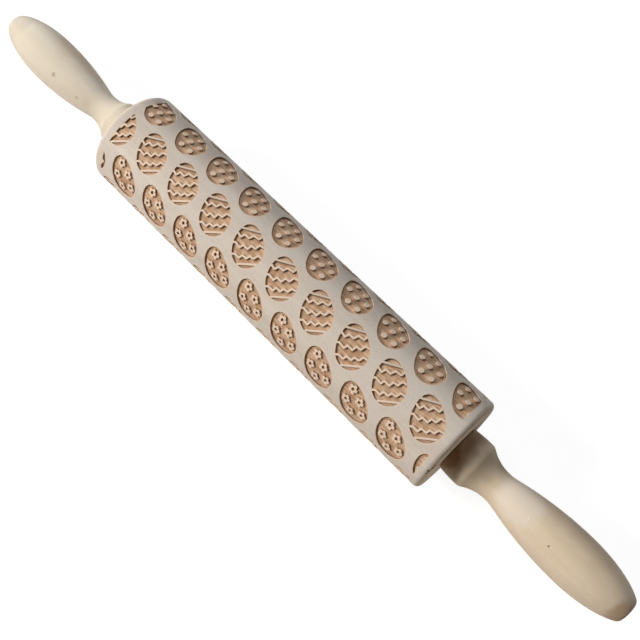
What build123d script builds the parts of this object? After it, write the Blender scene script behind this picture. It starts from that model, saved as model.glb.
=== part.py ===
from build123d import *
import math
import os

# An embossed rolling pin: an engraved wooden barrel that turns on a steel rod between two
# wooden handles. X runs along the pin, Z is up, and the origin is on the table under the
# middle of the barrel. All sizes are in millimetres and all angles in degrees.

# Barrel
barrel_diameter = 50.0
barrel_length = 219.0
barrel_edge_radius = 2.7

# Engraving: rows of egg motifs, each a pocket with an upright wall and a floor round the barrel
engraving_depth = 0.9
motif_length = 20.5
motif_width = 15.2
motif_tip_radius = 4.4
motif_tilt = 50.5
motif_pitch = 22.05
rows_around = 8
first_row_angle = 14.2
row_shift = 6.3
first_motif_station = 27.15
left_plain_band = 5.7
right_plain_band = 4.8
narrowest_partial_motif = 1.0

# Handles, with stations measured from the collar's face
handle_length = 95.3
handle_gap = 0.5
collar_face_radius = 11.3
collar_crown_radius = 11.75
collar_length = 11.1
collar_corner_radius = 4.0
neck_station = 23.1
neck_radius = 7.7
neck_cove_radius = 20.0
belly_station = 64.5
belly_radius = 12.4
tip_cut_share = 0.885
tip_dome_height = 0.8
tip_corner_radius = 2.8

# Axle rod
rod_diameter = 8.0
thread_diameter = 6.0
rod_end_chamfer = 0.8
thread_beyond_insert = 3.0

# Bushes
bush_wall = 2.0
bush_length = 22.0
flange_diameter = 20.0
flange_thickness = 2.0
bush_chamfer = 0.5

# Thrust washers
washer_diameter = 18.0
washer_thickness = 1.0

# Threaded inserts
insert_diameter = 10.0
insert_length = 18.0
insert_chamfer = 0.6

# Clearances, and one overrun for every cut
running_clearance = 0.05
washer_clearance = 0.1
flange_clearance = 0.25
rod_hole_clearance = 0.4
drill_allowance = 2.0
end_float = 0.3
overrun = 2.0

# Worked out from the sizes above
barrel_radius = barrel_diameter / 2
half_barrel = barrel_length / 2
floor_radius = barrel_radius - engraving_depth
collar_face = half_barrel + handle_gap
rod_shoulder = collar_face - washer_thickness
flange_face = rod_shoulder - end_float
flange_seat = flange_face - flange_thickness
bush_bore = rod_diameter + 2 * running_clearance
bush_diameter = bush_bore + 2 * bush_wall
thread_length = washer_thickness + insert_length + thread_beyond_insert


def along_x(shape):
    """Lay a shape that was made round Z along X."""
    return Rot(0, 90, 0) * shape


def rod_between(radius, start, end):
    """A round bar on the pin's axis, from one station to another."""
    return Pos((start + end) / 2, 0, 0) * along_x(Cylinder(radius, end - start))


def ring_edges(shape, station):
    """The round edges of a turned piece that lie nearest to a station on the pin's axis."""
    rings = shape.edges().filter_by(GeomType.CIRCLE)
    return rings.group_by(lambda ring: abs(ring.arc_center.X - station))[0]


def mirrored(shape):
    """The left-hand twin of a right-hand piece."""
    return mirror(shape, about=Plane.YZ)


# Engraving


def egg_outline():
    """The motif's outline: a round blunt end, two long flanks and a small round tip.

    The tip points to -X and the outline is centred on its own length. Each flank is the one arc
    that leaves the blunt end and meets the tip without a corner.
    """
    blunt_radius = motif_width / 2
    spread = motif_length - blunt_radius - motif_tip_radius
    flank_reach = spread**2 + blunt_radius**2 - motif_tip_radius**2
    flank_radius = flank_reach / (2 * (blunt_radius - motif_tip_radius))
    flank_turn = math.degrees(math.asin(spread / (flank_radius - motif_tip_radius)))
    blunt_centre = motif_length / 2 - blunt_radius
    tip_centre = blunt_centre - spread
    flank_drop = flank_radius - blunt_radius
    edges = [
        CenterArc((blunt_centre, 0), blunt_radius, -90, 180),
        CenterArc((blunt_centre, -flank_drop), flank_radius, 90, flank_turn),
        CenterArc((tip_centre, 0), motif_tip_radius, 90 + flank_turn, 180 - 2 * flank_turn),
        CenterArc((blunt_centre, flank_drop), flank_radius, 270 - flank_turn, flank_turn),
    ]
    return make_face(edges)


def egg_cutter():
    """The pocket of one motif at the top of the barrel, tilted and cut down to the floor."""
    root_height = barrel_radius - motif_length / 2
    prism = extrude(egg_outline(), amount=barrel_radius + overrun - root_height)
    core = rod_between(floor_radius, -motif_length, motif_length)
    return Pos(0, 0, root_height) * Rot(0, 0, -motif_tilt) * prism - core


def motif_stations(row):
    """Where the motifs of one row lie along the pin, cut ones at the plain bands included."""
    zone_start = left_plain_band - half_barrel
    zone_end = half_barrel - right_plain_band
    reach = motif_length / 2 - narrowest_partial_motif
    first = first_motif_station - half_barrel - row * row_shift
    first_count = math.ceil((zone_start - reach - first) / motif_pitch)
    last_count = math.floor((zone_end + reach - first) / motif_pitch)
    return [first + count * motif_pitch for count in range(first_count, last_count + 1)]


def engraving_cutters():
    """Every pocket of the pattern. Those that cross a plain band end straight at its line."""
    zone_start = left_plain_band - half_barrel
    zone_end = half_barrel - right_plain_band
    zone = rod_between(barrel_diameter, zone_start, zone_end)
    pocket = egg_cutter()
    seam_row = 1 - rows_around // 2
    cutters = []
    for row in range(seam_row, seam_row + rows_around):
        turn = first_row_angle + row * 360 / rows_around
        for station in motif_stations(row):
            cutter = Pos(station, 0, 0) * Rot(turn, 0, 0) * pocket
            reach = motif_length / 2
            if station - reach < zone_start or station + reach > zone_end:
                cutter = cutter & zone
            cutters += cutter.solids()
    return cutters


# Turned wooden pieces


def roller_barrel():
    """The barrel: bored through, counterbored for the bushes' flanges, then engraved."""
    blank = rod_between(barrel_radius, -half_barrel, half_barrel)
    blank = fillet(ring_edges(blank, half_barrel) + ring_edges(blank, -half_barrel), barrel_edge_radius)
    blank -= rod_between(bush_diameter / 2, -half_barrel - overrun, half_barrel + overrun)
    counterbore = rod_between(flange_diameter / 2 + flange_clearance, flange_seat, half_barrel + overrun)
    blank -= counterbore
    blank -= mirrored(counterbore)
    return blank.cut(*engraving_cutters())


def handle_outline():
    """Half of a handle's section: crowned collar, cove to the neck, grip and domed tip.

    The cove and the grip's long arc meet without a corner, and the tip is part of an ellipse as
    high as the grip, closed by a shallow dome.
    """
    cove_rise = neck_radius + neck_cove_radius
    grip_run = belly_station - neck_station
    step = cove_rise - belly_radius
    grip_radius = (grip_run**2 + step**2 - neck_cove_radius**2) / (2 * (neck_cove_radius - step))
    meeting_turn = math.degrees(math.atan2(grip_run, step + grip_radius))
    shoulder_turn = math.degrees(math.asin((neck_station - collar_length) / neck_cove_radius))
    cove = CenterArc(
        (neck_station, cove_rise), neck_cove_radius, 270 - shoulder_turn, shoulder_turn + meeting_turn
    )
    grip_centre = (belly_station, belly_radius - grip_radius)
    grip = CenterArc(grip_centre, grip_radius, 90 + meeting_turn, -meeting_turn)
    dome_station = handle_length - tip_dome_height
    ellipse_reach = (dome_station - belly_station) / tip_cut_share
    cut_turn = math.degrees(math.asin(tip_cut_share))
    tip_centre = (belly_station, 0)
    tip = EllipticalCenterArc(tip_centre, ellipse_reach, belly_radius, 90 - cut_turn, arc_size=cut_turn)
    dome_edge = Vector(dome_station, belly_radius * math.cos(math.radians(cut_turn)))
    crown = ThreePointArc((0, collar_face_radius), (collar_length / 2, collar_crown_radius), cove @ 0)
    dome_radius = (dome_edge.Y**2 + tip_dome_height**2) / (2 * tip_dome_height)
    dome_turn = math.degrees(math.asin(dome_edge.Y / dome_radius))
    dome = CenterArc((handle_length - dome_radius, 0), dome_radius, 0, dome_turn)
    axis_line = Line((handle_length, 0), (0, 0))
    face_line = Line((0, 0), (0, collar_face_radius))
    return make_face([face_line, crown, cove, grip, tip, dome, axis_line])


def right_handle():
    """The right handle: turned to its outline and drilled for the insert and the rod's end."""
    blank = revolve(handle_outline(), Axis.X)
    blank = fillet(ring_edges(blank, collar_length), collar_corner_radius)
    blank = fillet(ring_edges(blank, handle_length - tip_dome_height), tip_corner_radius)
    rod_hole_radius = thread_diameter / 2 + rod_hole_clearance
    rod_hole_end = insert_length + thread_beyond_insert + drill_allowance
    blank -= rod_between(insert_diameter / 2, -overrun, insert_length)
    blank -= rod_between(rod_hole_radius, -overrun, rod_hole_end)
    return Pos(collar_face, 0, 0) * blank


# Axle and bearings


def axle_rod():
    """The rod: full thickness between its shoulders, and thinner threaded ends."""
    end = rod_shoulder + thread_length
    rod = rod_between(rod_diameter / 2, -rod_shoulder, rod_shoulder)
    rod += rod_between(thread_diameter / 2, -end, end)
    return chamfer(ring_edges(rod, end) + ring_edges(rod, -end), rod_end_chamfer)


def right_bush():
    """The right bush: a sleeve pressed into the barrel, with a flange in the counterbore."""
    inner_end = flange_seat - bush_length
    sleeve = rod_between(bush_diameter / 2, inner_end, flange_seat)
    sleeve = chamfer(ring_edges(sleeve, inner_end), bush_chamfer)
    sleeve += rod_between(flange_diameter / 2, flange_seat, flange_face)
    return sleeve - rod_between(bush_bore / 2, inner_end - overrun, flange_face + overrun)


def right_washer():
    """The right thrust washer, held between the rod's shoulder and the handle's collar."""
    hole_radius = thread_diameter / 2 + washer_clearance
    washer = rod_between(washer_diameter / 2, rod_shoulder, collar_face)
    return washer - rod_between(hole_radius, rod_shoulder - overrun, collar_face + overrun)


def right_insert():
    """The right threaded insert, flush with the collar's face."""
    end = collar_face + insert_length
    insert = rod_between(insert_diameter / 2, collar_face, end)
    insert = chamfer(ring_edges(insert, end), insert_chamfer)
    return insert - rod_between(thread_diameter / 2, collar_face - overrun, end + overrun)


def pieces():
    """Every piece by its node's name, on the pin's axis."""
    right_side = {
        "bush": right_bush(),
        "washer": right_washer(),
        "insert": right_insert(),
        "handle": right_handle(),
    }
    named = {"roller_barrel": roller_barrel(), "axle_rod": axle_rod()}
    for name, piece in right_side.items():
        named["right_" + name] = piece
        named["left_" + name] = mirrored(piece)
    return named


os.makedirs("parts", exist_ok=True)
for node, piece in pieces().items():
    export_step(Pos(0, 0, barrel_radius) * piece, "parts/" + node + ".step")
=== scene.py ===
"""An embossed rolling pin: its engraved barrel, its wood and metal finishes, the studio and the camera.

The engraving is laid out on the barrel's unrolled surface, in millimetres: x runs along the pin, and
arc is the way round the barrel from a row's middle. Everything that reaches a mesh is in metres.
"""

from __future__ import annotations

import logging
import math
from collections import defaultdict
from dataclasses import dataclass, field
from enum import Enum

import bmesh
import bpy
import numpy as np
from mathutils import Matrix, Vector, geometry


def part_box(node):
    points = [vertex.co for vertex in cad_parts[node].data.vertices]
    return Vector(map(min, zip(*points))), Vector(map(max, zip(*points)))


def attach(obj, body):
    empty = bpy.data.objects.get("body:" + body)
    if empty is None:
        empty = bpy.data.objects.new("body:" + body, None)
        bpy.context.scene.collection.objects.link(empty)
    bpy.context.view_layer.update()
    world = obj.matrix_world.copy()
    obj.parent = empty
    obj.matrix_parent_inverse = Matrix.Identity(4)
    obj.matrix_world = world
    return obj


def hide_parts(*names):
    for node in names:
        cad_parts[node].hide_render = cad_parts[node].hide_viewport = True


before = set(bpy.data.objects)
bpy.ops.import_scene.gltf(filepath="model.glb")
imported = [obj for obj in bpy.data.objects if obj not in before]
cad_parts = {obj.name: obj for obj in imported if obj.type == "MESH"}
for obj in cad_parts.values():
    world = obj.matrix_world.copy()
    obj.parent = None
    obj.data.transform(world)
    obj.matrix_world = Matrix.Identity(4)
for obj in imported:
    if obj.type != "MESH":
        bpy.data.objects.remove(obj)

MM = 0.001
SHORTEST_RUN = 1e-9
SCREEN_WHITE = 255
SCREEN_TOE = 0.04045
SCREEN_TOE_SLOPE = 12.92
SCREEN_LIFT = 0.055
SCREEN_POWER = 2.4
Point = tuple[float, float]
Place = tuple[float, float, float]
Colour = tuple[float, float, float]
Array = np.ndarray
Pair = tuple[Array, Array]
Socket = bpy.types.NodeSocket
log = logging.getLogger("rolling_pin")


def srgb(red: int, green: int, blue: int) -> Colour:
    """A colour written as it looks on a screen, turned to linear light.

    Args:
        red: Its red, 0 to 255.
        green: Its green.
        blue: Its blue.

    Returns:
        The colour, with shares from 0 to 1.
    """
    curve = ((value / SCREEN_WHITE + SCREEN_LIFT) / (1 + SCREEN_LIFT) for value in (red, green, blue))
    toe = (value / SCREEN_WHITE for value in (red, green, blue))
    return tuple(v / SCREEN_TOE_SLOPE if v <= SCREEN_TOE else c**SCREEN_POWER for v, c in zip(toe, curve))


class Design(Enum):
    """What stands up inside an egg's pocket."""

    DOTS = "dots"
    FLOWERS = "flowers"
    ZIGZAG = "zigzag"


class End(Enum):
    """Which end of the pin a piece is at."""

    LEFT = "left"
    RIGHT = "right"


@dataclass(frozen=True)
class Egg:
    """The motif's outline: a round blunt end, two long flanks and a small round tip, in millimetres."""

    length: float = 20.5
    width: float = 15.2
    tip_radius: float = 4.4
    tilt: float = math.radians(50.5)

    def inside(self, places: Pair, barrel_radius: float) -> Array:
        """How far points lie inside the outline, as it is seen square-on.

        Args:
            places: The points' x and arc, from the motif's middle.
            barrel_radius: The barrel's radius.

        Returns:
            The distance to the outline, negative outside it.
        """
        blunt_radius = self.width / 2
        spread = self.length - blunt_radius - self.tip_radius
        reach = spread**2 + blunt_radius**2 - self.tip_radius**2
        flank_radius = reach / (2 * (blunt_radius - self.tip_radius))
        flank_turn = math.asin(spread / (flank_radius - self.tip_radius))
        flank_drop = flank_radius - blunt_radius
        x, arc = places
        across = barrel_radius * np.sin(np.clip(arc / barrel_radius, -math.pi / 2, math.pi / 2))
        along = x * math.cos(self.tilt) + across * math.sin(self.tilt)
        side = np.abs(across * math.cos(self.tilt) - x * math.sin(self.tilt))
        forward = along - (self.length / 2 - blunt_radius)
        turn = np.arctan2(-forward, side + flank_drop)
        blunt = blunt_radius - np.hypot(forward, side)
        tip = self.tip_radius - np.hypot(forward + spread, side)
        flank = flank_radius - np.hypot(forward, side + flank_drop)
        return np.where(turn < 0, blunt, np.where(turn > flank_turn, tip, flank))


@dataclass(frozen=True)
class Dot:
    """A round stud, in millimetres from the motif's middle."""

    centre: Point
    radius: float = 1.28

    def outside(self, places: Pair) -> Array:
        """How far points lie outside the stud."""
        return np.hypot(places[0] - self.centre[0], places[1] - self.centre[1]) - self.radius


@dataclass(frozen=True)
class Flower:
    """A small flower of round petals about a sunk heart, in millimetres from the motif's middle."""

    centre: Point
    petals: int = 5
    petal_radius: float = 0.8
    petal_reach: float = 1.42
    heart_radius: float = 0.86
    first_petal: float = math.radians(-4)

    def outside(self, places: Pair) -> Array:
        """How far points lie outside the flower, its sunk heart counted as outside.

        Args:
            places: The points' x and arc, from the motif's middle.

        Returns:
            The distance to the flower's edge, negative on its petals.
        """
        nearest = np.full(places[0].shape, np.inf)
        for petal in range(self.petals):
            angle = self.first_petal + 2 * math.pi * petal / self.petals
            across, around = self.petal_reach * math.cos(angle), self.petal_reach * math.sin(angle)
            disc = Dot((self.centre[0] + across, self.centre[1] + around), self.petal_radius)
            nearest = np.minimum(nearest, disc.outside(places))
        return np.maximum(nearest, -Dot(self.centre, self.heart_radius).outside(places))


@dataclass(frozen=True)
class Rib:
    """A raised rib of constant width along a chain of straight runs, in millimetres."""

    path: tuple[Point, ...]
    half_width: float = 0.42

    def outside(self, places: Pair) -> Array:
        """How far points lie outside the rib.

        Args:
            places: The points' x and arc, from the motif's middle.

        Returns:
            The distance to the rib's edge, negative on the rib.
        """
        x, arc = places
        nearest = np.full(x.shape, np.inf)
        for (x0, arc0), (x1, arc1) in zip(self.path, self.path[1:]):
            run_x, run_arc = x1 - x0, arc1 - arc0
            share = ((x - x0) * run_x + (arc - arc0) * run_arc) / (run_x**2 + run_arc**2)
            share = np.clip(share, 0, 1)
            gap = np.hypot(x - x0 - share * run_x, arc - arc0 - share * run_arc)
            nearest = np.minimum(nearest, gap)
        return nearest - self.half_width


DOT_CENTRES: tuple[Point, ...] = (
    (-3.7, -5.77), (1.88, -4.39), (-4.74, -0.08), (0.5, 1.12), (5.95, 0.26), (-0.6, 5.95), (4.98, 5.78),
)
FLOWER_CENTRES: tuple[Point, ...] = (
    (-3.42, -5.83), (2.3, -2.98), (-3.76, 0.81), (6.26, 1.96), (0.73, 5.23),
)
RIB_PATHS: tuple[tuple[Point, ...], ...] = (
    ((-8.1, -4.2), (-0.4, -8.45)),
    (
        (-8.6, -1.37), (-5.45, -0.62), (-4.8, -2.75), (-2.15, -2.78),
        (-1.4, -5.1), (1.48, -5.48), (1.92, -8.4),
    ),
    (
        (-6.4, 3.5), (-5.6, 2.7), (-2.4, 3.12), (-1.83, 1.23), (0.96, 1.28),
        (1.28, -1.0), (3.56, -1.3), (3.93, -3.77), (6.9, -4.5),
    ),
    (
        (-3.6, 7.9), (-2.0, 6.7), (0.5, 6.9), (1.08, 4.8), (3.5, 4.72),
        (4.08, 2.85), (6.17, 2.57), (6.76, 0.28), (9.4, -0.28),
    ),
    ((1.6, 9.5), (9.05, 3.6)),
)
DESIGNS: dict[Design, tuple[Dot | Flower | Rib, ...]] = {
    Design.DOTS: tuple(Dot(centre) for centre in DOT_CENTRES),
    Design.FLOWERS: tuple(Flower(centre) for centre in FLOWER_CENTRES),
    Design.ZIGZAG: tuple(Rib(path) for path in RIB_PATHS),
}


@dataclass
class Pattern:
    """How the motifs are laid round the barrel, in millimetres and radians."""

    barrel_radius: float
    half_barrel: float
    egg: Egg = field(default_factory=Egg)
    pitch: float = 22.05
    rows: int = 8
    first_row_angle: float = math.radians(14.2)
    row_shift: float = 6.3
    first_station: float = 27.15
    left_plain_band: float = 5.7
    right_plain_band: float = 4.8
    narrowest_partial_motif: float = 1.0
    rows_design: tuple[Design, ...] = (Design.ZIGZAG, Design.FLOWERS, Design.ZIGZAG, Design.DOTS)

    def zone(self) -> Point:
        """The stations where the engraving starts and ends."""
        return self.left_plain_band - self.half_barrel, self.half_barrel - self.right_plain_band

    def row_numbers(self) -> range:
        """The rows by number; row 0 is the one nearest to the top."""
        first = 1 - self.rows // 2
        return range(first, first + self.rows)

    def design(self, row: int) -> Design:
        """The design of one row."""
        return self.rows_design[row % len(self.rows_design)]

    def row_angle(self, row: int | Array) -> float | Array:
        """How far a row's middle is turned from the top towards -Y."""
        return self.first_row_angle + 2 * math.pi * row / self.rows

    def beside(self, row: int, step: int) -> int:
        """The row that lies a number of steps further round; the last row meets the first."""
        first = self.row_numbers().start
        return first + (row + step - first) % self.rows

    def first_of_row(self, row: int) -> float:
        """The station of a row's motif number 0."""
        return self.first_station - self.half_barrel - row * self.row_shift

    def holds_motif(self, station: float) -> bool:
        """Whether a motif is engraved, whole or cut by a plain band.

        Args:
            station: Where its middle lies along the pin.

        Returns:
            False where it would be too narrow or missing.
        """
        start, end = self.zone()
        reach = self.egg.length / 2 - self.narrowest_partial_motif
        return start - reach <= station <= end + reach

    def pocket(self, station: float | Array, places: Pair) -> Array:
        """How far points lie inside one motif's outline, as the plain bands cut it.

        Args:
            station: Where the motif's middle lies along the pin.
            places: The points' x and arc, from the motif's middle.

        Returns:
            The distance to the outline, negative outside it.
        """
        start, end = self.zone()
        depth = self.egg.inside(places, self.barrel_radius)
        return np.minimum(depth, np.minimum(station + places[0] - start, end - station - places[0]))


@dataclass(frozen=True)
class PocketWall:
    """The section of a pocket's wall: how deep it is at growing distances from its rim, in millimetres."""

    depth: float = 0.9
    reaches: tuple[float, ...] = (0.0, 0.06, 0.18, 0.32)
    depth_shares: tuple[float, ...] = (0.0, 0.11, 0.91, 1.0)

    def height(self, recess: Array) -> Array:
        """The surface's height above the land, which is never positive."""
        return -self.depth * np.interp(recess, self.reaches, self.depth_shares)


class Contour:
    """Finds the lines along which a field has one value, on a grid of triangles."""

    def __init__(self, places: Array, values: Array) -> None:
        """Keep the grid.

        Args:
            places: The grid's x, and its arc, one row for each x.
            values: The field there.
        """
        self.places = places.reshape(2, -1).T
        self.values = values.reshape(-1)
        index = np.arange(values.size).reshape(values.shape)
        near, right = index[:-1, :-1].ravel(), index[1:, :-1].ravel()
        up, far = index[:-1, 1:].ravel(), index[1:, 1:].ravel()
        lower = np.stack([near, right, far], axis=1)
        upper = np.stack([near, far, up], axis=1)
        self.triangles = np.concatenate([lower, upper])

    def lines(self, level: float) -> list[Array]:
        """The lines at a level, each a chain of points; a closed one repeats its first point.

        Args:
            level: The field's value along the lines.

        Returns:
            One array of points for each line.
        """
        above = self.values > level
        count = above[self.triangles].sum(axis=1)
        crossed = self.triangles[(count > 0) & (count < 3)]
        ends: dict[tuple[int, int], list[tuple[int, int]]] = defaultdict(list)
        for corners in crossed.tolist():
            sides = zip(corners, corners[1:] + corners[:1])
            first, second = ((min(a, b), max(a, b)) for a, b in sides if above[a] != above[b])
            ends[first].append(second)
            ends[second].append(first)
        lines = []
        starts = [key for key, linked in ends.items() if len(linked) == 1] + list(ends)
        visited: set[tuple[int, int]] = set()
        for start in starts:
            if start in visited:
                continue
            chain = []
            onward = [start]
            while onward:
                chain.append(onward[0])
                visited.add(onward[0])
                onward = [key for key in ends[chain[-1]] if key not in visited]
            if len(chain) > 2 and start in ends[chain[-1]]:
                chain.append(start)
            lines.append(self._places(chain, level))
        return lines

    def _places(self, chain: list[tuple[int, int]], level: float) -> Array:
        """Where a chain of cut grid edges crosses a level.

        Args:
            chain: The edges, each by its two grid points.
            level: The field's value there.

        Returns:
            One point for each edge.
        """
        first, second = np.array(chain).T
        low, high = self.values[first], self.values[second]
        share = ((level - low) / (high - low))[:, None]
        return self.places[first] * (1 - share) + self.places[second] * share


def thinned(points: Array, tolerance: float) -> Array:
    """Leave out the points of a chain that lie within a tolerance of the line without them.

    Args:
        points: The chain.
        tolerance: The furthest that a point left out may lie from the new chain.

    Returns:
        The thinned chain, with the same first and last point.
    """
    closed = len(points) > 3 and np.allclose(points[0], points[-1])
    kept = {0, len(points) - 1}
    if closed:
        kept.add(int(np.argmax(np.hypot(*(points - points[0]).T))))
    order = sorted(kept)
    spans = list(zip(order, order[1:]))
    while spans:
        first, last = spans.pop()
        if last - first < 2:
            continue
        run = points[last] - points[first]
        inner = points[first + 1 : last] - points[first]
        gaps = np.abs(inner[:, 0] * run[1] - inner[:, 1] * run[0]) / max(np.hypot(*run), SHORTEST_RUN)
        worst = int(np.argmax(gaps))
        if gaps[worst] > tolerance:
            middle = first + 1 + worst
            kept.add(middle)
            spans += [(first, middle), (middle, last)]
    return points[sorted(kept)]


@dataclass
class Sheet:
    """Part of the barrel's skin: places on the unrolled surface, their recess, and its triangles."""

    places: Array
    recess: Array
    triangles: Array


@dataclass(frozen=True)
class Tile:
    """The skin round one motif, as triangles that follow every wall, in millimetres from its middle."""

    pattern: Pattern
    design: Design
    station: float
    clip: Point
    middle_x: float = 0.58
    middle_arc: float = 0.39
    wall: PocketWall = PocketWall()
    grid_step: float = 0.13
    line_tolerance: float = 0.02
    free_step: float = 2.0
    free_clearance: float = 0.55
    same_place: float = 1e-5
    fewest_points: int = 4
    nudges_in_a_step: int = 20
    moves_in_a_step: int = 3
    least_steepness: float = 0.5
    steps_along: int = 14
    steps_round: int = 12
    margins_in_a_step: int = 8

    def xs(self) -> Point:
        """Where it starts and ends along the pin, cut by clip, the stations of the straight skin's ends.

        Returns:
            The start and the end; off the straight skin, the end comes first.
        """
        half_pitch = self.pattern.pitch / 2
        start = max(self.middle_x - half_pitch, self.clip[0] - self.station)
        return start, min(self.middle_x + half_pitch, self.clip[1] - self.station)

    def arcs(self) -> Point:
        """Where it starts and ends round the barrel."""
        half_arc = math.pi * self.pattern.barrel_radius / self.pattern.rows
        return self.middle_arc - half_arc, self.middle_arc + half_arc

    def has_motif(self) -> bool:
        """Whether its motif is engraved."""
        return self.pattern.holds_motif(self.station)

    def is_whole(self) -> bool:
        """Whether neither the barrel's ends nor the plain bands cut it or its motif.

        Returns:
            True where its skin is like that of every other whole tile of its design.
        """
        (start, end), (low, high) = self.pattern.zone(), self.xs()
        reach = self.pattern.egg.length / 2
        is_uncut = start + reach < self.station < end - reach
        return is_uncut and math.isclose(high - low, self.pattern.pitch)

    def recess(self, places: Pair) -> Array:
        """How far points lie inside the sunk part of the motif.

        Args:
            places: The points' x and arc, from the motif's middle.

        Returns:
            The distance to the pocket's nearest wall, negative on the land and on raised features.
        """
        if not self.has_motif():
            return np.full(places[0].shape, -self.pattern.pitch)
        depth = self.pattern.pocket(self.station, places)
        for feature in DESIGNS[self.design]:
            depth = np.minimum(depth, feature.outside(places))
        return depth

    def lattice(self, step: float, lead: float) -> Array:
        """A square lattice of points on the tile.

        Args:
            step: The distance between points.
            lead: How far the first points lie from the tile's start.

        Returns:
            The points' x, and the points' arc.
        """
        ends = (self.xs(), self.arcs())
        across, around = (np.arange(low + lead, high - (lead - step / 2), step) for low, high in ends)
        return np.stack(np.meshgrid(across, around, indexing="ij"))

    def sheet(self) -> Sheet:
        """The tile's skin.

        Returns:
            Its places from the motif's middle, their recess and its triangles.
        """
        lines = [self._border()]
        if self.has_motif():
            lines += self._wall_lines()
        points, edges = [], []
        count = 0
        for line in lines:
            fresh = line[:-1] if np.allclose(line[0], line[-1]) else line
            edges += [(count + i, count + (i + 1) % len(fresh)) for i in range(len(line) - 1)]
            points.append(fresh)
            count += len(fresh)
        points.append(self._free_points())
        corners = [Vector(place) for place in np.concatenate(points).tolist()]
        made = geometry.delaunay_2d_cdt(corners, edges, [], 0, self.same_place)
        places = np.array([tuple(corner) for corner in made[0]])
        return Sheet(places, self.recess(places.T), np.array(made[2]))

    def _border(self) -> Array:
        """The tile's border, with the points that its neighbours have too.

        Returns:
            The border's points in order, with the first one again at the end.
        """
        (start, end), (low_arc, high_arc) = self.xs(), self.arcs()
        step = self.pattern.pitch / self.steps_along
        first = self.middle_x - self.pattern.pitch / 2
        along = first + step * np.arange(self.steps_along + 1)
        margin = step / self.margins_in_a_step
        along = along[(along > start + margin) & (along < end - margin)]
        along = np.concatenate([[start], along, [end]])
        around = np.linspace(low_arc, high_arc, self.steps_round + 1)
        sides = [(along, low_arc), (end, around), (along[::-1], high_arc), (start, around[::-1])]
        bottom, right, top, left = (np.stack(np.broadcast_arrays(*side), axis=1) for side in sides)
        return np.concatenate([bottom[:-1], right[:-1], top[:-1], left])

    def _wall_lines(self) -> list[Array]:
        """The lines that the pocket's walls follow, thinned to what their curves need.

        Returns:
            One chain of points for each line.
        """
        grid = self.lattice(self.grid_step, self.grid_step / 2)
        contour = Contour(grid, self.recess(grid))
        lines = []
        for reach in self.wall.reaches:
            for line in contour.lines(reach):
                if len(line) < self.fewest_points:
                    continue
                settled = self._settled(line, reach)
                if np.allclose(line[0], line[-1]):
                    settled[-1] = settled[0]
                slim = thinned(settled, self.line_tolerance)
                if len(slim) >= self.fewest_points:
                    lines.append(slim)
        return lines

    def _settled(self, line: Array, reach: float) -> Array:
        """Move a line's points the last step on to the exact distance from the wall.

        Args:
            line: The line's points.
            reach: The distance from the pocket's rim that they belong at.

        Returns:
            The moved points.
        """
        nudge = self.grid_step / self.nudges_in_a_step
        most = self.grid_step / self.moves_in_a_step
        x, arc = line.T
        here = self.recess((x, arc))
        slope_x = (self.recess((x + nudge, arc)) - here) / nudge
        slope_arc = (self.recess((x, arc + nudge)) - here) / nudge
        steep = np.maximum(slope_x**2 + slope_arc**2, self.least_steepness)
        step = np.clip((reach - here) / steep, -most, most)
        return np.stack([x + step * slope_x, arc + step * slope_arc], axis=1)

    def _free_points(self) -> Array:
        """Points that keep wide floors and wide land round, clear of every wall.

        Returns:
            The points.
        """
        places = self.lattice(self.free_step, self.free_step).reshape(2, -1).T
        if not len(places) or not self.has_motif():
            return places
        recess = self.recess(places.T)
        nearest_line = self.wall.reaches[-1]
        away = (recess < -self.free_clearance) | (recess > nearest_line + self.free_clearance)
        return places[away]


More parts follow.
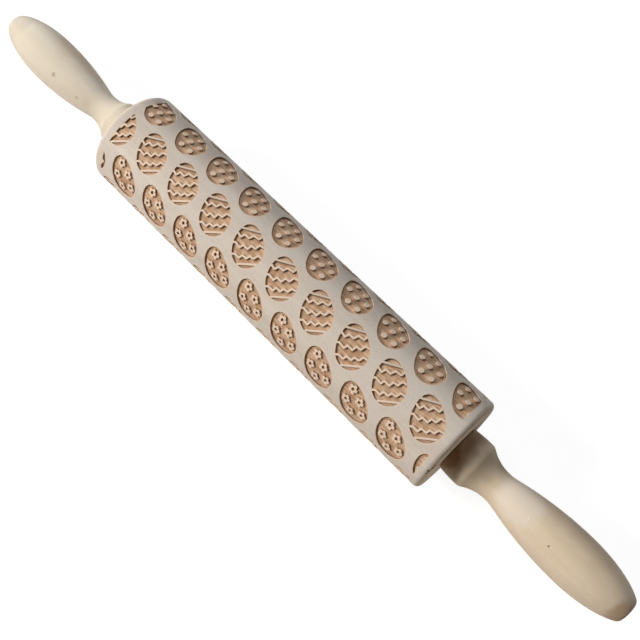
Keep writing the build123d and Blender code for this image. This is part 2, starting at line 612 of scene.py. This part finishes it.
@dataclass
class EngravedBarrel:
    """The wooden barrel: engraved skin, rounded ends, counterbores and bore, sizes in millimetres."""

    radius: float
    half_length: float
    axis_height: float
    edge_radius: float = 2.7
    edge_steps: int = 8
    bore_radius: float = 6.05
    counterbore_radius: float = 10.25
    counterbore_depth: float = 2.8
    end_face_radii: tuple[float, ...] = (19.0, 15.0)
    crease: float = math.radians(32)
    far_from_motifs: float = 20.0
    weld_gap: float = 0.003

    def __post_init__(self) -> None:
        """Lay out the pattern at the barrel's size."""
        self.pattern = Pattern(self.radius, self.half_length)

    def build(self) -> bpy.types.Object:
        """Make the barrel's mesh and put it in the place of its solid.

        Returns:
            The barrel's object, riding on the roller.
        """
        places, recess, halo, faces = self._skin()
        ends, end_faces = self._turned_ends()
        faces += (end_faces + len(places)).tolist()
        places = np.concatenate([places, ends])
        plain = np.full(len(ends), self.far_from_motifs)
        mesh = bpy.data.meshes.new("engraved_barrel")
        mesh.from_pydata((places * MM).tolist(), [], faces)
        kept = {"recess": np.concatenate([recess, -plain]), "halo": np.concatenate([halo, plain])}
        for name, values in kept.items():
            layer = mesh.attributes.new(name, "FLOAT", "POINT")
            layer.data.foreach_set("value", values.astype(np.float32))
        self._close(mesh)
        barrel = bpy.data.objects.new("engraved_barrel", mesh)
        bpy.context.scene.collection.objects.link(barrel)
        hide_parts("roller_barrel")
        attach(barrel, "roller")
        return barrel

    def _skin(self) -> tuple[Array, Array, Array, list[list[int]]]:
        """Lay every motif's tile round the barrel.

        Returns:
            The skin's places on the rolled-up barrel, their recess and halo, and the triangles.
        """
        pattern = self.pattern
        clip = (self.edge_radius - self.half_length, self.half_length - self.edge_radius)
        whole: dict[Design, Sheet] = {}
        tiles, triangles = [], []
        count = 0
        for row in pattern.row_numbers():
            first = pattern.first_of_row(row)
            lowest = math.floor((clip[0] - first) / pattern.pitch) - 1
            highest = math.ceil((clip[1] - first) / pattern.pitch) + 1
            for number in range(lowest, highest + 1):
                tile = Tile(pattern, pattern.design(row), first + number * pattern.pitch, clip)
                start, end = tile.xs()
                if end <= start:
                    continue
                sheet = whole.get(tile.design) if tile.is_whole() else None
                sheet = sheet or tile.sheet()
                if tile.is_whole():
                    whole[tile.design] = sheet
                x, arc = sheet.places.T
                tiles.append([tile.station + x, arc, sheet.recess, np.full(len(x), row)])
                triangles.append(sheet.triangles[:, ::-1] + count)
                count += len(x)
        x, arc, recess, rows = (np.concatenate(values) for values in zip(*tiles))
        angle = pattern.row_angle(rows) + arc / self.radius
        places = self._rolled(x, self.radius + Tile.wall.height(recess), angle)
        return places, recess, self._halo(x, arc, rows), np.concatenate(triangles).tolist()

    def _halo(self, x: Array, arc: Array, rows: Array) -> Array:
        """How far places on the skin lie outside the nearest motif's outline.

        Args:
            x: Stations along the pin.
            arc: Places round the barrel, from each place's own row.
            rows: The row of each place.

        Returns:
            The distance, negative inside a motif.
        """
        pattern = self.pattern
        nearest = np.full(len(x), self.far_from_motifs)
        row_arc = 2 * math.pi * self.radius / pattern.rows
        for step in (-1, 0, 1):
            for own_row in pattern.row_numbers():
                here = np.flatnonzero(rows == own_row)
                first = pattern.first_of_row(pattern.beside(own_row, step))
                near = np.round((x[here] - first) / pattern.pitch)
                for shift in (-1, 0, 1):
                    station = first + (near + shift) * pattern.pitch
                    present = np.array([pattern.holds_motif(place) for place in station])
                    gap = -pattern.pocket(station, (x[here] - station, arc[here] - step * row_arc))
                    gap = np.where(present, gap, self.far_from_motifs)
                    nearest[here] = np.minimum(nearest[here], gap)
        return nearest

    def _rolled(self, x: Array, radius: Array, angle: Array) -> Array:
        """Places round the pin's axis, from their station, radius and turn from the top towards -Y."""
        return np.stack([x, -radius * np.sin(angle), self.axis_height + radius * np.cos(angle)], axis=1)

    def _turned_ends(self) -> tuple[Array, Array]:
        """The rounded edges, end faces, counterbores and bore, as one band of rings.

        Returns:
            The rings' places, and the four-sided faces between them.
        """
        half = self.half_length
        curb = half - self.edge_radius
        crown = self.radius - self.edge_radius
        bends = np.linspace(0, math.pi / 2, self.edge_steps + 1)
        rounding = self.edge_radius
        profile = [(curb + rounding * math.sin(bend), crown + rounding * math.cos(bend)) for bend in bends]
        profile += [(half, radius) for radius in (*self.end_face_radii, self.counterbore_radius)]
        seat = half - self.counterbore_depth
        profile += [(seat, self.counterbore_radius), (seat, self.bore_radius)]
        profile += [(-x, radius) for x, radius in reversed(profile)]
        rounds = self.pattern.rows * Tile.steps_round
        low_arc = Tile.middle_arc - math.pi * self.radius / self.pattern.rows
        start = self.pattern.first_row_angle + low_arc / self.radius
        angles = start + 2 * math.pi * np.arange(rounds) / rounds
        rings = [self._rolled(np.full(rounds, x), np.full(rounds, r), angles) for x, r in profile]
        steps = np.arange(rounds)
        onward = (steps + 1) % rounds
        band = np.stack([steps, onward, onward + rounds, steps + rounds], axis=1)
        faces = [band + ring * rounds for ring in range(len(profile) - 1)]
        return np.concatenate(rings), np.concatenate(faces)

    def _close(self, mesh: bpy.types.Mesh) -> None:
        """Weld the tiles and rings into one closed skin, turn it outwards and smooth it.

        Args:
            mesh: The barrel's mesh.
        """
        shell = bmesh.new()
        shell.from_mesh(mesh)
        bmesh.ops.remove_doubles(shell, verts=shell.verts, dist=self.weld_gap * MM)
        bmesh.ops.recalc_face_normals(shell, faces=shell.faces)
        open_edges = sum(1 for edge in shell.edges if len(edge.link_faces) != 2)
        log.info("barrel: %d faces, %d open edges", len(shell.faces), open_edges)
        shell.to_mesh(mesh)
        shell.free()
        mesh.shade_smooth()
        mesh.set_sharp_from_angle(angle=self.crease)


@dataclass(frozen=True)
class Mark:
    """A speck, stain or chip in the wood, or a patch of painted shade or painted highlight: its place and
    size in millimetres, and its colour.
    """

    place: Place
    radius: float
    colour: Colour
    share: float = 0.8
    edge_share: float = 1.4
    detail: float = 2.0


@dataclass(frozen=True)
class Clouds:
    """Cloudy noise: how many clouds a metre holds along each axis, and the values that it steps between."""

    stretch: Place
    low: float = 0.0
    high: float = 1.0
    detail: float = 3.0
    shift: float = 0.0


def blank_material(name: str) -> bpy.types.Material:
    """A new material without any nodes.

    Args:
        name: Its name.

    Returns:
        The material.
    """
    material = bpy.data.materials.new(name)
    material.use_nodes = True
    material.node_tree.nodes.clear()
    return material


class Tree:
    """Shader nodes, with the moves that the finishes, the floor and the sky share."""

    def __init__(self, tree: bpy.types.NodeTree) -> None:
        """Keep the tree that the nodes go into."""
        self.tree = tree

    def node(self, kind: str, *values: object) -> bpy.types.Node:
        """A new node.

        Args:
            kind: Its kind.
            values: What its first inputs get, in their order.

        Returns:
            The node.
        """
        node = self.tree.nodes.new("ShaderNode" + kind)
        self.feed(node, *values)
        return node

    def feed(self, node: bpy.types.Node, *values: object) -> None:
        """Give a node's first inputs fixed values or other nodes' outputs, in their order."""
        for target, value in zip(node.inputs, values):
            self.give(target, value)

    def give(self, target: Socket, value: object) -> None:
        """Give one input a fixed value or another node's output.

        Args:
            target: The input.
            value: An output, a number or a colour.
        """
        if isinstance(value, Socket):
            self.tree.links.new(value, target)
        elif isinstance(value, tuple) and len(value) == 3 and target.type == "RGBA":
            target.default_value = (*value, 1.0)
        else:
            target.default_value = value

    def worked_out(self, operation: str, *values: object) -> Socket:
        """The result of a sum.

        Args:
            operation: Its name, as a math node has it.
            values: The outputs and numbers that go into it.

        Returns:
            The result.
        """
        node = self.node("Math")
        node.operation = operation
        self.feed(node, *values)
        return node.outputs["Value"]


class Graph(Tree):
    """A material's nodes, with the few moves that this object's finishes need."""

    def __init__(self, name: str) -> None:
        """Start a material with one surface shader.

        Args:
            name: The material's name.
        """
        self.material = blank_material(name)
        super().__init__(self.material.node_tree)
        self.surface = self.node("BsdfPrincipled")
        self.node("OutputMaterial", self.surface.outputs["BSDF"])

    def finish(self, values: dict[str, object]) -> None:
        """Give the surface its values by the names of its inputs."""
        for name, value in values.items():
            self.give(self.surface.inputs[name], value)

    def spot(self) -> Socket:
        """The place on the object, in metres."""
        return self.node("TexCoord").outputs["Object"]

    def place(self, clouds: Clouds) -> Socket:
        """The place on the object as a noise has it: moved, not turned, and stretched."""
        shift, turn = (clouds.shift,) * 3, (0.0,) * 3
        return self.node("Mapping", self.spot(), shift, turn, clouds.stretch).outputs["Vector"]

    def noise(self, clouds: Clouds) -> Socket:
        """The plain values of cloudy noise, from 0 to 1, from its place, W, scale and detail."""
        return self.node("TexNoise", self.place(clouds), 0.0, 1.0, clouds.detail).outputs["Fac"]

    def stepped(self, clouds: Clouds, start: float = 0.0, end: float = 1.0) -> Socket:
        """Cloudy noise as a smooth step from start to end."""
        return self.ramp(self.noise(clouds), clouds.low, clouds.high, start, end)

    def cells(self, clouds: Clouds) -> Socket:
        """A smooth step from 1 at the nearest of scattered points to 0 away from it, for flecks."""
        points = self.node("TexVoronoi", self.place(clouds), 0.0, 1.0)
        return self.ramp(points.outputs["Distance"], clouds.low, clouds.high, 1.0, 0.0)

    def attribute(self, name: str) -> Socket:
        """A number that the mesh keeps at its vertices.

        Args:
            name: The name that it is kept under.

        Returns:
            The number.
        """
        node = self.node("Attribute")
        node.attribute_name = name
        return node.outputs["Fac"]

    def ramp(self, value: Socket, low: float, high: float, start: float = 0.0, end: float = 1.0) -> Socket:
        """A smooth step from start to end as a value goes from low to high.

        Args:
            value: The value.
            low: Where the step starts.
            high: Where it ends.
            start: The result up to there.
            end: The result from there on.

        Returns:
            The result.
        """
        node = self.node("MapRange", value, low, high, start, end)
        node.interpolation_type = "SMOOTHSTEP"
        return node.outputs["Result"]

    def times(self, first: Socket, second: object) -> Socket:
        """One value times another."""
        return self.worked_out("MULTIPLY", first, second)

    def mix(self, share: Socket, first: object, second: object, most: float | None = None) -> Socket:
        """Two colours mixed.

        Args:
            share: The share of the second colour, from 0 to 1.
            first: The first colour.
            second: The second.
            most: What the share is multiplied by, if by anything.

        Returns:
            The mixed colour.
        """
        if most is not None:
            share = self.times(share, most)
        node = self.node("Mix")
        node.data_type = "RGBA"
        sockets = {socket.identifier: socket for socket in node.inputs}
        for name, value in (("Factor_Float", share), ("A_Color", first), ("B_Color", second)):
            self.give(sockets[name], value)
        return next(socket for socket in node.outputs if socket.identifier == "Result_Color")

    def near(self, mark: Mark) -> Socket:
        """1 at the middle of a mark, falling to 0 at its ragged edge.

        Args:
            mark: The mark.

        Returns:
            Its share of the colour.
        """
        place = tuple(value * MM for value in mark.place)
        gap = self.node("VectorMath", self.spot(), place)
        gap.operation = "DISTANCE"
        radius = mark.radius * MM
        rough = self.noise(Clouds((1 / radius,) * 3, detail=mark.detail))
        ragged = self.worked_out("MULTIPLY_ADD", rough, radius, gap.outputs["Value"])
        return self.ramp(ragged, radius, mark.edge_share * radius, 1.0, 0.0)

    def end_on(self, low: float, high: float) -> Socket:
        """The share of end grain, from 0 to 1 as the normal's part along the pin goes from low to high."""
        normal = self.node("SeparateXYZ", self.node("NewGeometry").outputs["Normal"])
        return self.ramp(self.worked_out("ABSOLUTE", normal.outputs["X"]), low, high)

    def bump(self, height: Socket, distance: float, strength: float) -> None:
        """Roughen the surface by a height field.

        Args:
            height: The field.
            distance: Its height in metres.
            strength: How much of it shows.
        """
        node = self.node("Bump")
        node.inputs["Distance"].default_value = distance
        node.inputs["Strength"].default_value = strength
        self.give(node.inputs["Height"], height)
        self.finish({"Normal": node.outputs["Normal"]})


@dataclass(frozen=True)
class TurnedBeech:
    """Sanded beech: long soft figure, fine grain and short dark flecks, all along the pin."""

    name: str
    pale: Colour
    deep: Colour
    fleck: Colour
    blush: Colour
    fleck_share: float = 0.35
    blush_share: float = 0.5
    grain_share: float = 0.4
    end_grain: Colour = srgb(190, 164, 138)
    end_grain_share: float = 0.6
    end_grain_turn: Point = (0.3, 0.9)
    roughness: Point = (0.6, 0.74)
    gloss: float = 0.12
    figure: Clouds = Clouds((7.0, 90.0, 90.0), 0.32, 0.68, 4.0)
    grain: Clouds = Clouds((45.0, 1100.0, 1100.0), 0.35, 0.68, shift=3.7)
    blush_patches: Clouds = Clouds((26.0, 62.0, 62.0), 0.42, 0.66, 2.0, 9.6)
    flecks: Clouds = Clouds((330.0, 1500.0, 1500.0), 0.10, 0.30, shift=1.3)
    sheen: Clouds = Clouds((60.0, 700.0, 700.0), 0.2, 0.8, 2.0, 5.1)
    fibres: Clouds = Clouds((90.0, 1800.0, 1800.0), shift=2.2)
    relief: float = 0.00004
    relief_share: float = 0.35
    marks: tuple[Mark, ...] = ()

    def colour(self, graph: Graph) -> Socket:
        """The wood's own colour, before anything is burnt or marked on it.

        Args:
            graph: The material's nodes.

        Returns:
            The colour.
        """
        colour = graph.mix(graph.stepped(self.figure), self.pale, self.deep)
        colour = graph.mix(graph.stepped(self.grain), colour, self.deep, self.grain_share)
        colour = graph.mix(graph.stepped(self.blush_patches), colour, self.blush, self.blush_share)
        end_on = graph.end_on(*self.end_grain_turn)
        colour = graph.mix(end_on, colour, self.end_grain, self.end_grain_share)
        return graph.mix(graph.cells(self.flecks), colour, self.fleck, self.fleck_share)

    def marked(self, graph: Graph, colour: Socket) -> Socket:
        """A colour with the wood's few specks, stains and chips on it, and its patches of painted shade and
        painted highlight.

        Args:
            graph: The material's nodes.
            colour: The colour without them.

        Returns:
            The colour with them.
        """
        for mark in self.marks:
            colour = graph.mix(graph.near(mark), colour, mark.colour, mark.share)
        return colour

    def sanded(self, graph: Graph, colour: Socket) -> bpy.types.Material:
        """The wood's material: its colour with its marks, its roughness and the lift of its grain.

        Args:
            graph: The material's nodes.
            colour: The colour without the marks.

        Returns:
            The material.
        """
        shine = graph.stepped(self.sheen, *self.roughness)
        colour = self.marked(graph, colour)
        graph.finish({"Base Color": colour, "Roughness": shine, "Specular IOR Level": self.gloss})
        graph.bump(graph.noise(self.fibres), self.relief, self.relief_share)
        return graph.material

    def material(self) -> bpy.types.Material:
        """The plain wood, with its few natural specks and its patches of painted shade and painted
        highlight.
        """
        graph = Graph(self.name)
        return self.sanded(graph, self.colour(graph))


@dataclass(frozen=True)
class EngravedBeech:
    """The barrel's wood with its engraving: toasted floors, walls burnt and darkened further as painted
    shade, and a warm rim on the land.

    The points are recesses, or distances outside a motif, in millimetres, that a step lies between.
    """

    wood: TurnedBeech = TurnedBeech(
        name="engraved_beech",
        pale=srgb(225, 214, 202),
        deep=srgb(209, 196, 182),
        fleck=srgb(176, 152, 126),
        blush=srgb(214, 203, 193),
        end_grain=srgb(216, 190, 163),
        end_grain_share=0.9,
        end_grain_turn=(0.5, 0.74),
        marks=(
            Mark((109.2, -17.8, 40.2), 1.5, srgb(110, 84, 60)),
            Mark((108.6, -19.7, 39.2), 1.1, srgb(116, 90, 66)),
            Mark((109.2, -16.4, 41.6), 1.0, srgb(122, 96, 70)),
            Mark((108.5, -18.6, 40.5), 0.9, srgb(240, 226, 208)),
            Mark((108.9, -20.8, 37.6), 0.9, srgb(128, 102, 76)),
        ),
    )
    halo: Colour = srgb(228, 205, 183)
    halo_share: float = 0.55
    halo_width: float = 1.3
    raised_top: Colour = srgb(239, 213, 189)
    raised_share: float = 0.9
    raised_edge: Point = (-0.45, -0.15)
    floor_pale: Colour = srgb(217, 184, 155)
    floor_deep: Colour = srgb(189, 151, 119)
    floor_grit: Colour = srgb(150, 112, 80)
    floor_start: Point = (0.03, 0.3)
    streaks: Clouds = Clouds((60.0, 900.0, 900.0), 0.35, 0.65, shift=8.4)
    grit: Clouds = Clouds((1300.0, 2100.0, 2100.0), 0.5, 0.72, 2.0, 4.3)
    grit_share: float = 0.5
    # Dark brown on the pocket walls: partly the laser's real burn, partly painted shade that deepens the
    # walls lying in shadow.
    burn_and_shade: Colour = srgb(104, 64, 38)
    burn_and_shade_share: float = 0.75
    burn_and_shade_start: Point = (0.05, 0.12)
    burn_and_shade_end: Point = (0.14, 0.3)

    def material(self) -> bpy.types.Material:
        """The engraved wood; its mesh keeps each place's recess and halo in millimetres.

        Returns:
            The material.
        """
        graph = Graph(self.wood.name)
        recess, halo = graph.attribute("recess"), graph.attribute("halo")
        rim = graph.ramp(halo, 0.0, self.halo_width, self.halo_share, 0.0)
        land = graph.mix(rim, self.wood.colour(graph), self.halo)
        within = graph.ramp(halo, *self.raised_edge, 1.0, 0.0)
        land = graph.mix(within, land, self.raised_top, self.raised_share)
        floor = graph.mix(graph.stepped(self.streaks), self.floor_pale, self.floor_deep)
        floor = graph.mix(graph.stepped(self.grit), floor, self.floor_grit, self.grit_share)
        colour = graph.mix(graph.ramp(recess, *self.floor_start), land, floor)
        # Burn and painted shade: the dark brown goes on the steep part of every wall.
        wall_start = graph.ramp(recess, *self.burn_and_shade_start)
        wall_end = graph.ramp(recess, *self.burn_and_shade_end, 1.0, 0.0)
        wall = graph.times(wall_start, wall_end)
        return self.wood.sanded(graph, graph.mix(wall, colour, self.burn_and_shade, self.burn_and_shade_share))


@dataclass(frozen=True)
class Mottled:
    """A finish whose colour, shine and relief all follow one cloudy noise."""

    name: str
    pale: Colour
    deep: Colour
    roughness: Point
    clouds: Clouds
    metallic: float
    relief: float
    relief_share: float

    def material(self) -> bpy.types.Material:
        """The finish as a material.

        Returns:
            The material.
        """
        graph = Graph(self.name)
        noise = graph.noise(self.clouds)
        shine = graph.ramp(noise, self.clouds.low, self.clouds.high, *self.roughness)
        colour = graph.mix(noise, self.pale, self.deep)
        graph.finish({"Base Color": colour, "Metallic": self.metallic, "Roughness": shine})
        graph.bump(noise, self.relief, self.relief_share)
        return graph.material


@dataclass(frozen=True)
class TurnedMetal(Mottled):
    """Bright metal with fine turning marks round the pin's axis."""

    roughness: Point = (0.22, 0.42)
    clouds: Clouds = Clouds((5000.0, 60.0, 60.0), 0.3, 0.7, 2.0)
    metallic: float = 1.0
    relief: float = 0.00001
    relief_share: float = 0.3


@dataclass(frozen=True)
class MouldedNylon(Mottled):
    """Natural nylon: milky, a little waxy, faintly mottled."""

    roughness: Point = (0.38, 0.5)
    clouds: Clouds = Clouds((400.0, 400.0, 400.0), 0.3, 0.7)
    metallic: float = 0.0
    relief: float = 0.00002
    relief_share: float = 0.2


def dress(node: str, material: bpy.types.Material) -> None:
    """Give a solid of the frame one material all over.

    Args:
        node: The solid's name.
        material: What it is made of.
    """
    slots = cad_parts[node].material_slots
    if not slots:
        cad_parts[node].data.materials.append(material)
    for slot in slots:
        slot.material = material
    log.info("%s: %s", node, material.name)


@dataclass
class Handles:
    """The two turned handles, with the marks that their wood shows and patches of painted shade and painted
    highlight on them.
    """

    left_wood: TurnedBeech = TurnedBeech(
        name="left_handle_beech",
        pale=srgb(236, 229, 214),
        deep=srgb(225, 213, 194),
        fleck=srgb(205, 184, 156),
        blush=srgb(228, 212, 194),
        fleck_share=0.22,
        marks=(
            Mark((-127.0, 0.0, 25.0), 17.0, srgb(208, 195, 176), 0.5),
            Mark((-206.0, 0.0, 25.0), 20.0, srgb(203, 192, 175), 0.6),
            # Painted shade: warm darkening along the grip's far side, away from the lights.
            Mark((-150.0, 11.0, 28.0), 17.0, srgb(214, 182, 152), 0.4),
            Mark((-168.0, 12.0, 28.0), 17.0, srgb(214, 182, 152), 0.4),
            Mark((-160.3, -7.9, 33.8), 1.7, srgb(170, 156, 138), 0.7),
            Mark((-143.7, -7.5, 30.8), 1.2, srgb(184, 168, 148), 0.6),
        ),
    )
    right_wood: TurnedBeech = TurnedBeech(
        name="right_handle_beech",
        pale=srgb(237, 219, 193),
        deep=srgb(225, 205, 176),
        fleck=srgb(200, 172, 138),
        blush=srgb(230, 208, 188),
        fleck_share=0.25,
        marks=(
            # Painted highlight: a paler patch on top of the grip by the neck.
            Mark((143.0, -1.0, 36.0), 15.0, srgb(238, 226, 214), 0.55),
            # Painted shade: a darker ring round the shoulder and cove behind the collar.
            Mark((124.5, 0.0, 25.0), 15.5, srgb(182, 162, 138), 0.65),
            # Painted shade: warm darkening along the grip's far side, away from the lights.
            Mark((158.0, 11.0, 28.0), 18.0, srgb(204, 178, 150), 0.4),
            Mark((178.0, 11.0, 28.0), 18.0, srgb(204, 178, 150), 0.4),
            # Painted shadow: brown patches on the collar next to the barrel's end, where the barrel shades
            # it.
            Mark((109.0, -3.0, 36.0), 13.0, srgb(170, 128, 90), 0.5),
            Mark((109.0, -9.5, 31.0), 13.0, srgb(164, 118, 78), 0.5),
            Mark((108.0, -7.5, 33.5), 8.5, srgb(140, 94, 56), 0.6),
            # Painted shade: a darker tip end, which faces away from the lights.
            Mark((204.0, -3.0, 29.0), 10.0, srgb(182, 152, 120), 0.75),
            Mark((164.0, -6.0, 35.5), 0.7, srgb(138, 108, 76)),
            Mark((150.9, -3.3, 35.2), 0.8, srgb(250, 242, 228), 0.5),
        ),
    )

    def dress(self) -> None:
        """Give each handle its own wood."""
        dress("left_handle", self.left_wood.material())
        dress("right_handle", self.right_wood.material())


@dataclass
class AxleSet:
    """The rod with its bushes, thrust washers and threaded inserts."""

    steel: TurnedMetal = TurnedMetal("drawn_steel", srgb(205, 205, 207), srgb(184, 184, 187))
    # Painted shade: the washers are darkened and browned so the gap between barrel and collar reads dark.
    washer: TurnedMetal = TurnedMetal("dull_washer_painted_shade", srgb(120, 112, 104), srgb(98, 90, 82), (0.42, 0.62))
    brass: TurnedMetal = TurnedMetal("turned_brass", srgb(226, 205, 154), srgb(208, 182, 126), (0.2, 0.4))
    nylon: MouldedNylon = MouldedNylon("natural_nylon", srgb(240, 238, 232), srgb(229, 226, 217))

    def dress(self) -> None:
        """Give the rod, washers, bushes and inserts their metals and plastic."""
        dress("axle_rod", self.steel.material())
        washer, nylon, brass = self.washer.material(), self.nylon.material(), self.brass.material()
        for end in End:
            dress(end.value + "_washer", washer)
            dress(end.value + "_bush", nylon)
            dress(end.value + "_insert", brass)


@dataclass(frozen=True)
class Lamp:
    """A square soft light aimed at the pin: its place and width in metres, and its power in watts."""

    name: str
    place: Place
    width: float
    power: float
    colour: Colour

    def hang(self) -> None:
        """Make the light."""
        light = bpy.data.lights.new(self.name, "AREA")
        light.size = self.width
        light.energy = self.power
        light.color = self.colour
        lamp = bpy.data.objects.new(self.name, light)
        lamp.location = self.place
        lamp.rotation_euler = (-Vector(self.place)).to_track_quat("-Z", "Y").to_euler()
        bpy.context.scene.collection.objects.link(lamp)


@dataclass
class Studio:
    """A pale floor and plain soft light, in metres."""

    floor_half: float = 3.0
    floor_glow: float = 0.9
    floor_answer: float = 0.24
    floor_bounce: float = 0.6
    ambient: float = 0.025
    lamps: tuple[Lamp, ...] = (
        Lamp("soft_key", (-1.415, -1.19, 1.19), 0.6, 42.3, (1.0, 0.96, 0.905)),
        Lamp("soft_fill", (-1.232, 0.726, 1.672), 1.2, 20.5, (0.92, 0.96, 1.0)),
        Lamp("soft_low", (2.1, -0.55, 0.33), 0.6, 5.2, (1.0, 0.97, 0.93)),
    )

    def build(self) -> None:
        """Make the floor, the soft lights and the sky."""
        self._floor()
        for lamp in self.lamps:
            lamp.hang()
        self._sky()

    def _floor(self) -> None:
        """A wide plain floor that looks white to the camera and keeps the object's shadow."""
        half = self.floor_half
        mesh = bpy.data.meshes.new("studio_floor")
        corners = [(-half, -half, 0), (half, -half, 0), (half, half, 0), (-half, half, 0)]
        mesh.from_pydata(corners, [], [(0, 1, 2, 3)])
        floor = bpy.data.objects.new("studio_floor", mesh)
        bpy.context.scene.collection.objects.link(floor)
        material = blank_material("pale_floor")
        tree = Tree(material.node_tree)
        glow = tree.node("Emission", (1.0, 1.0, 1.0), self.floor_glow)
        seen = tree.node("BsdfDiffuse", (self.floor_answer,) * 3)
        white = tree.node("AddShader", glow.outputs[0], seen.outputs[0])
        plain = tree.node("BsdfDiffuse", (self.floor_bounce,) * 3)
        blend = tree.node("MixShader", self._looked_at(tree), plain.outputs[0], white.outputs[0])
        tree.node("OutputMaterial", blend.outputs[0])
        mesh.materials.append(material)

    def _looked_at(self, tree: Tree) -> Socket:
        """1 for what the camera sees, directly, in a reflection or through glass, and otherwise 0.

        Args:
            tree: The floor's or the sky's nodes.

        Returns:
            The share.
        """
        path = tree.node("LightPath")
        share = path.outputs["Is Camera Ray"]
        for name in ("Is Glossy Ray", "Is Transmission Ray"):
            share = tree.worked_out("MAXIMUM", share, path.outputs[name])
        return share

    def _sky(self) -> None:
        """An even sky: plain light on the object, white where it is looked at."""
        world = bpy.data.worlds.new("even_sky")
        world.use_nodes = True
        tree = Tree(world.node_tree)
        strength = tree.node("MapRange", self._looked_at(tree), 0.0, 1.0, self.ambient, 1.0)
        tree.feed(world.node_tree.nodes["Background"], (1.0, 1.0, 1.0), strength.outputs["Result"])
        bpy.context.scene.world = world


@dataclass
class PhotoCamera:
    """The photograph's camera: it looks down on the pin from over the right, in metres and radians."""

    aim: Place = (0.0250, -0.0014, 0.0250)
    distance: float = 0.4144
    elevation: float = math.radians(69.25)
    bearing: float = math.radians(-44.13)
    focal_pixels: float = 900.0
    image_pixels: float = 640.0
    sensor_mm: float = 36.0
    nearest: float = 0.01

    def build(self) -> None:
        """Make the camera and look through it."""
        lens = bpy.data.cameras.new("photo_camera")
        lens.sensor_width = self.sensor_mm
        lens.sensor_fit = "HORIZONTAL"
        lens.lens = self.sensor_mm * self.focal_pixels / self.image_pixels
        lens.clip_start = self.nearest
        back = Vector(
            (
                math.cos(self.elevation) * math.cos(self.bearing),
                math.cos(self.elevation) * math.sin(self.bearing),
                math.sin(self.elevation),
            )
        )
        right = Vector((-math.sin(self.bearing), math.cos(self.bearing), 0.0))
        upward = back.cross(right)
        camera = bpy.data.objects.new("photo_camera", lens)
        turn = Matrix((right, upward, back)).transposed()
        camera.matrix_world = Matrix.Translation(Vector(self.aim) + self.distance * back) @ turn.to_4x4()
        bpy.context.scene.collection.objects.link(camera)
        bpy.context.scene.camera = camera


def barrel_from_frame() -> EngravedBarrel:
    """The barrel at the size and place of its solid in the frame.

    Returns:
        The barrel.
    """
    low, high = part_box("roller_barrel")
    return EngravedBarrel(
        radius=(high.z - low.z) / 2 / MM,
        half_length=(high.x - low.x) / 2 / MM,
        axis_height=(high.z + low.z) / 2 / MM,
    )


def main() -> None:
    """Build and dress the pin, light it and place the camera."""
    logging.basicConfig(level=logging.INFO, format="%(message)s")
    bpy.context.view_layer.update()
    bpy.context.scene.view_settings.view_transform = "Standard"
    barrel = barrel_from_frame().build()
    barrel.data.materials.append(EngravedBeech().material())
    log.info("engraved barrel: built")
    Handles().dress()
    AxleSet().dress()
    Studio().build()
    PhotoCamera().build()


if __name__ == "__main__":
    main()
